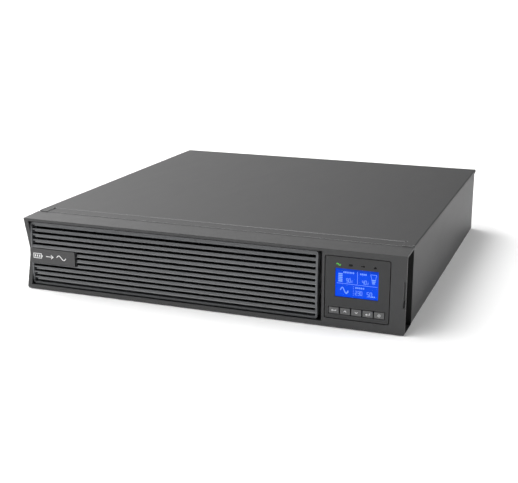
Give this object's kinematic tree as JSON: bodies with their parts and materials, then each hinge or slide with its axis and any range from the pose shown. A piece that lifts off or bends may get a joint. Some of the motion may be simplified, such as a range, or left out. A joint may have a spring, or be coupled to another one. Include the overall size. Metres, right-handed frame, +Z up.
{
  "type": "uninterruptible power supply",
  "caption": "Low, wide rack-or-shelf uninterruptible power supply with a waisted louvred front, a square display module and a pull-out battery pack.",
  "frame": {"origin": "centre of the bounding box's bottom face, on the surface the case stands on", "axes": "+X to the right seen from the front, +Y from the front bezel to the rear panel, +Z up"},
  "size_m": [0.438, 0.448, 0.085],
  "materials": {
    "badge_plastic": "speckled",
    "battery_plastic": "moulded",
    "bezel_plastic": "fine spark texture",
    "board_green": "solder mask",
    "breaker_button": "moulded",
    "breaker_plastic": "moulded",
    "button_plastic": "satin",
    "capacitor_sleeve": "shrink sleeve",
    "case_paint": "fine textured powder coat",
    "choke_winding": "enamelled wire",
    "fan_plastic": "glass-filled",
    "ferrite": "ferrite",
    "guard_wire": "bright plated",
    "handle_plastic": "satin black",
    "indicator_dark": "smoked",
    "indicator_green": "lit",
    "jack_plastic": "moulded",
    "latch_plastic": "satin black",
    "lead_cells": "lead plates and separators",
    "lead_jacket": "satin",
    "louvre_plastic": "satin moulded",
    "module_plastic": "smooth satin film",
    "plug_plastic": "satin",
    "port_metal": "plated shells",
    "relay_plastic": "moulded",
    "screen_lens": "clear",
    "screen_panel": "backlit blue",
    "screw_steel": "zinc plated",
    "sink_aluminium": "extruded",
    "socket_plastic": "moulded",
    "terminal_metal": "tinned",
    "transistor_black": "epoxy",
    "winding_tape": "polyester tape",
    "zinc_steel": "zinc-plated sheet"
  },
  "bodies": {
    "case": {"battery_rails": "zinc_steel", "battery_socket": "plug_plastic", "board_standoffs": "zinc_steel", "breaker_body": "breaker_plastic", "bus_capacitors": "capacitor_sleeve", "card_slot_cover": "case_paint", "chassis_tray": "case_paint", "data_ports": "port_metal", "divider_wall": "zinc_steel", "fan_frame_left": "fan_plastic", "fan_frame_right": "fan_plastic", "fan_guards": "guard_wire", "fan_screws": "screw_steel", "filter_chokes": "choke_winding", "front_bezel": "bezel_plastic", "front_plate": "zinc_steel", "heat_sink_left": "sink_aluminium", "heat_sink_right": "sink_aluminium", "main_board": "board_green", "network_jacks": "jack_plastic", "outlet_board": "board_green", "outlet_sockets": "socket_plastic", "panel_screws": "screw_steel", "power_inlet": "socket_plastic", "power_transistors": "transistor_black", "rear_panel": "case_paint", "relays": "relay_plastic", "top_cover": "case_paint", "transformer_core": "ferrite", "transformer_winding": "winding_tape"},
    "button_escape": {"button_escape": "button_plastic"},
    "button_up": {"button_up": "button_plastic"},
    "button_down": {"button_down": "button_plastic"},
    "button_enter": {"button_enter": "button_plastic"},
    "button_power": {"button_power": "button_plastic"},
    "control_module": {"module_housing": "module_plastic", "module_back": "module_plastic", "display_lens": "screen_lens", "display_panel": "screen_panel", "display_board": "board_green", "indicator_mains": "indicator_green", "indicator_battery": "indicator_dark", "indicator_bypass": "indicator_dark", "indicator_fault": "indicator_dark"},
    "louvre": {"louvre_panel": "louvre_plastic", "badge_plate": "badge_plastic"},
    "battery_pack": {"battery_tray": "zinc_steel", "pack_handle": "handle_plastic", "battery_case_1": "battery_plastic", "battery_case_2": "battery_plastic", "battery_case_3": "battery_plastic", "battery_case_4": "battery_plastic", "battery_cells": "lead_cells", "battery_terminals": "terminal_metal", "battery_leads": "lead_jacket", "battery_plug": "plug_plastic"},
    "side_latch": {"side_latch_right": "latch_plastic"},
    "breaker_reset": {"breaker_button": "breaker_button"},
    "rotor_left": {"fan_rotor_left": "fan_plastic"},
    "rotor_right": {"fan_rotor_right": "fan_plastic"}
  },
  "joints": [
    {"name": "press_escape", "type": "slide", "parent": "control_module", "child": "button_escape", "axis": [0, 1, 0], "range_m": [0, 0.0008], "stiffness_N_per_m": 400, "springref_m": -0.001},
    {"name": "press_up", "type": "slide", "parent": "control_module", "child": "button_up", "axis": [0, 1, 0], "range_m": [0, 0.0008], "stiffness_N_per_m": 400, "springref_m": -0.001},
    {"name": "press_down", "type": "slide", "parent": "control_module", "child": "button_down", "axis": [0, 1, 0], "range_m": [0, 0.0008], "stiffness_N_per_m": 400, "springref_m": -0.001},
    {"name": "press_enter", "type": "slide", "parent": "control_module", "child": "button_enter", "axis": [0, 1, 0], "range_m": [0, 0.0008], "stiffness_N_per_m": 400, "springref_m": -0.001},
    {"name": "press_power", "type": "slide", "parent": "control_module", "child": "button_power", "axis": [0, 1, 0], "range_m": [0, 0.0008], "stiffness_N_per_m": 400, "springref_m": -0.001},
    {"name": "module_pull", "type": "slide", "parent": "case", "child": "control_module", "axis": [0, -1, 0], "range_m": [0, 0.03]},
    {"name": "battery_slide", "type": "slide", "parent": "case", "child": "battery_pack", "axis": [0, -1, 0], "range_m": [0, 0.3]},
    {"name": "louvre_pull", "type": "slide", "parent": "case", "child": "louvre", "axis": [0, -1, 0], "range_m": [0, 0.36]},
    {"name": "latch_press", "type": "slide", "parent": "case", "child": "side_latch", "axis": [-1, 0, 0], "range_m": [0, 0.0015], "stiffness_N_per_m": 800, "springref_m": -0.001},
    {"name": "breaker_press", "type": "slide", "parent": "case", "child": "breaker_reset", "axis": [0, -1, 0], "range_m": [0, 0.002], "stiffness_N_per_m": 600, "springref_m": -0.001},
    {"name": "fan_spin_left", "type": "hinge", "parent": "case", "child": "rotor_left", "pos_m": [0.0784, 0.2057, 0.0425], "axis": [0, 1, 0], "continuous": true},
    {"name": "fan_spin_right", "type": "hinge", "parent": "case", "child": "rotor_right", "pos_m": [0.1644, 0.2057, 0.0425], "axis": [0, 1, 0], "continuous": true}
  ],
  "couplings": [
    {"joint": "louvre_pull", "follows": "battery_slide", "ratio": 1.2}
  ]
}
